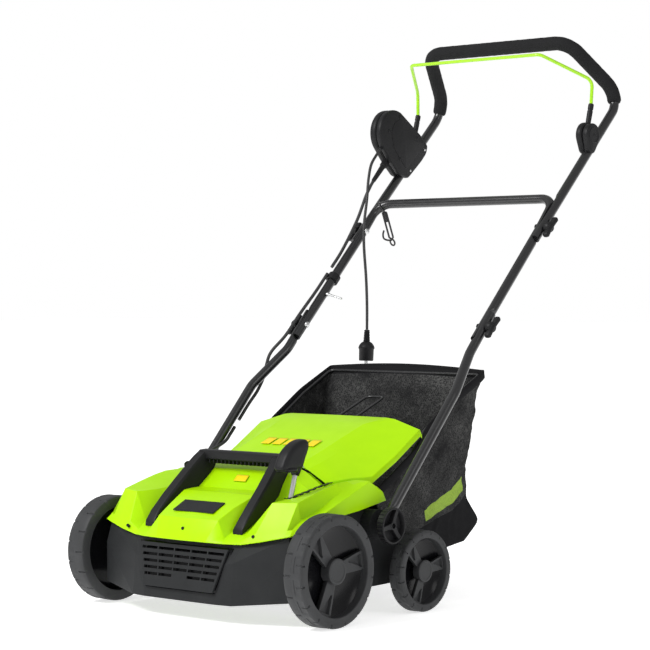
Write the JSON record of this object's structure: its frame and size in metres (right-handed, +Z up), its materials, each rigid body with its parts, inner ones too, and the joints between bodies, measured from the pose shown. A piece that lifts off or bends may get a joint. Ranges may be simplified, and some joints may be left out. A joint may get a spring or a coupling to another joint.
{
  "type": "lawn dethatcher",
  "caption": "Walk-behind electric lawn dethatcher with folding tube handle, bail switch, depth lever, tine reel, rear flap and mesh grass bag.",
  "frame": {"origin": "on the ground under the middle of the machine's box", "axes": "+Z up, -Y towards the front of the deck, +X to the right hand of someone facing the front"},
  "size_m": [0.5862, 1.0825, 1.1184],
  "materials": {
    "lime_plastic": "moulded lime green plastic with a fine texture",
    "dark_plastic": "dark grey moulded plastic",
    "black_plastic": "black moulded plastic",
    "wheel_plastic": "black moulded wheel plastic",
    "black_paint": "black powder coat",
    "foam": "black closed-cell foam",
    "steel": "zinc plated steel",
    "lime_paint": "lime green powder coat",
    "bag_mesh": "coarse black mesh cloth with taped edges",
    "cable_rubber": "black flexible cable sheath"
  },
  "bodies": {
    "deck": {"lower_housing": "dark_plastic", "front_grille": "dark_plastic", "hood": "lime_plastic", "name_panel": "dark_plastic", "carry_handle": "black_plastic", "reel_guard": "dark_plastic", "motor": "black_plastic", "rear_axle": "steel", "reel_bearing_left": "steel", "reel_bearing_right": "steel", "drive_belt": "cable_rubber", "flap_hinge_rod": "steel", "grass_bag": "bag_mesh", "bag_frame": "black_paint", "cable_gland": "black_plastic"},
    "front_axle": {"front_axle_crank": "steel", "lever_grip": "black_plastic"},
    "front_wheel_left": {"wheel_front_left": "wheel_plastic"},
    "front_wheel_right": {"wheel_front_right": "wheel_plastic"},
    "rear_wheel_left": {"wheel_rear_left": "wheel_plastic"},
    "rear_wheel_right": {"wheel_rear_right": "wheel_plastic"},
    "reel": {"tine_reel": "steel", "reel_pulley": "dark_plastic"},
    "motor_rotor": {"motor_shaft": "steel"},
    "flap": {"rear_flap": "lime_plastic"},
    "clamp_left": {"side_knob_left": "black_plastic"},
    "clamp_right": {"side_knob_right": "black_plastic"},
    "lower_handle": {"lower_tube_left": "black_paint", "lower_tube_right": "black_paint", "motor_cable_low": "cable_rubber"},
    "middle_handle": {"middle_tube": "black_paint", "wing_bolt_low_left": "steel", "wing_bolt_low_right": "steel", "wing_bolt_high_left": "steel", "wing_bolt_high_right": "steel", "cable_clip": "black_plastic", "tube_stud": "steel", "motor_cable_middle": "cable_rubber"},
    "upper_handle": {"upper_tube": "black_paint", "foam_grip": "foam", "switch_base": "black_plastic", "switch_cover": "black_plastic", "pivot_housing_inner": "black_plastic", "pivot_housing_outer": "black_plastic", "mains_relief": "black_plastic", "motor_cable_relief": "black_plastic", "mains_lead": "cable_rubber", "mains_plug": "black_plastic", "motor_cable_high": "cable_rubber"},
    "bail": {"bail_bar": "lime_paint", "bail_socket_left": "black_plastic", "bail_socket_right": "black_plastic"},
    "lock_off": {"lock_off_button": "lime_plastic"},
    "lead_hook": {"cable_hook": "black_paint"},
    "knob_low_left": {"wing_knob_low_left": "black_plastic"},
    "knob_low_right": {"wing_knob_low_right": "black_plastic"},
    "knob_high_left": {"wing_knob_high_left": "black_plastic"},
    "knob_high_right": {"wing_knob_high_right": "black_plastic"}
  },
  "joints": [
    {"name": "depth_lever", "type": "hinge", "parent": "deck", "child": "front_axle", "pos_m": [0, -0.4167, 0.11], "axis": [-1, 0, 0], "range_deg": [0, 24]},
    {"name": "front_left_roll", "type": "hinge", "parent": "front_axle", "child": "front_wheel_left", "pos_m": [-0.27, -0.4387, 0.1], "axis": [1, 0, 0], "continuous": true},
    {"name": "front_right_roll", "type": "hinge", "parent": "front_axle", "child": "front_wheel_right", "pos_m": [0.27, -0.4387, 0.1], "axis": [1, 0, 0], "continuous": true},
    {"name": "rear_left_roll", "type": "hinge", "parent": "deck", "child": "rear_wheel_left", "pos_m": [-0.27, -0.1785, 0.0751], "axis": [1, 0, 0], "continuous": true},
    {"name": "rear_right_roll", "type": "hinge", "parent": "deck", "child": "rear_wheel_right", "pos_m": [0.27, -0.1785, 0.0751], "axis": [1, 0, 0], "continuous": true},
    {"name": "reel_spin", "type": "hinge", "parent": "deck", "child": "reel", "pos_m": [0, -0.3387, 0.085], "axis": [1, 0, 0], "continuous": true},
    {"name": "motor_spin", "type": "hinge", "parent": "deck", "child": "motor_rotor", "pos_m": [-0.199, -0.4187, 0.16], "axis": [1, 0, 0], "continuous": true},
    {"name": "flap_lift", "type": "hinge", "parent": "deck", "child": "flap", "pos_m": [0, -0.3242, 0.2665], "axis": [1, 0, 0], "range_deg": [0, 70]},
    {"name": "clamp_turn_left", "type": "hinge", "parent": "deck", "child": "clamp_left", "pos_m": [-0.277, -0.2737, 0.166], "axis": [1, 0, 0], "continuous": true},
    {"name": "clamp_turn_right", "type": "hinge", "parent": "deck", "child": "clamp_right", "pos_m": [0.277, -0.2737, 0.166], "axis": [1, 0, 0], "continuous": true},
    {"name": "handle_fold_low", "type": "hinge", "parent": "deck", "child": "lower_handle", "pos_m": [0, -0.2737, 0.166], "axis": [1, 0, 0], "range_deg": [0, 110], "deforming": ["motor_cable_low"]},
    {"name": "handle_fold_mid", "type": "hinge", "parent": "lower_handle", "child": "middle_handle", "pos_m": [0, 0.0659, 0.5195], "axis": [1, 0, 0], "range_deg": [0, 135], "deforming": ["motor_cable_middle"]},
    {"name": "handle_fold_top", "type": "hinge", "parent": "middle_handle", "child": "upper_handle", "pos_m": [0, 0.2605, 0.7167], "axis": [1, 0, 0], "range_deg": [0, 110], "deforming": ["motor_cable_high"]},
    {"name": "bail_squeeze", "type": "hinge", "parent": "upper_handle", "child": "bail", "pos_m": [0, 0.4273, 0.91], "axis": [-1, 0, 0], "range_deg": [0, 20], "stiffness_Nm_per_rad": 0.8, "springref_deg": -34.38},
    {"name": "lock_off_press", "type": "slide", "parent": "upper_handle", "child": "lock_off", "axis": [1, 0, 0], "range_m": [0, 0.004], "stiffness_N_per_m": 250, "springref_m": -0.003},
    {"name": "hook_swing", "type": "hinge", "parent": "middle_handle", "child": "lead_hook", "pos_m": [-0.2179, 0.307, 0.7699], "axis": [0.766, 0.423, 0.484], "range_deg": [-45, 45]},
    {"name": "knob_low_left_turn", "type": "hinge", "parent": "lower_handle", "child": "knob_low_left", "pos_m": [-0.251, 0.0659, 0.5195], "axis": [1, 0, 0], "continuous": true},
    {"name": "knob_low_right_turn", "type": "hinge", "parent": "lower_handle", "child": "knob_low_right", "pos_m": [0.251, 0.0659, 0.5195], "axis": [1, 0, 0], "continuous": true},
    {"name": "knob_high_left_turn", "type": "hinge", "parent": "upper_handle", "child": "knob_high_left", "pos_m": [-0.251, 0.2605, 0.7167], "axis": [1, 0, 0], "continuous": true},
    {"name": "knob_high_right_turn", "type": "hinge", "parent": "upper_handle", "child": "knob_high_right", "pos_m": [0.251, 0.2605, 0.7167], "axis": [1, 0, 0], "continuous": true}
  ],
  "couplings": [
    {"joint": "motor_spin", "follows": "reel_spin", "ratio": 2.5}
  ]
}
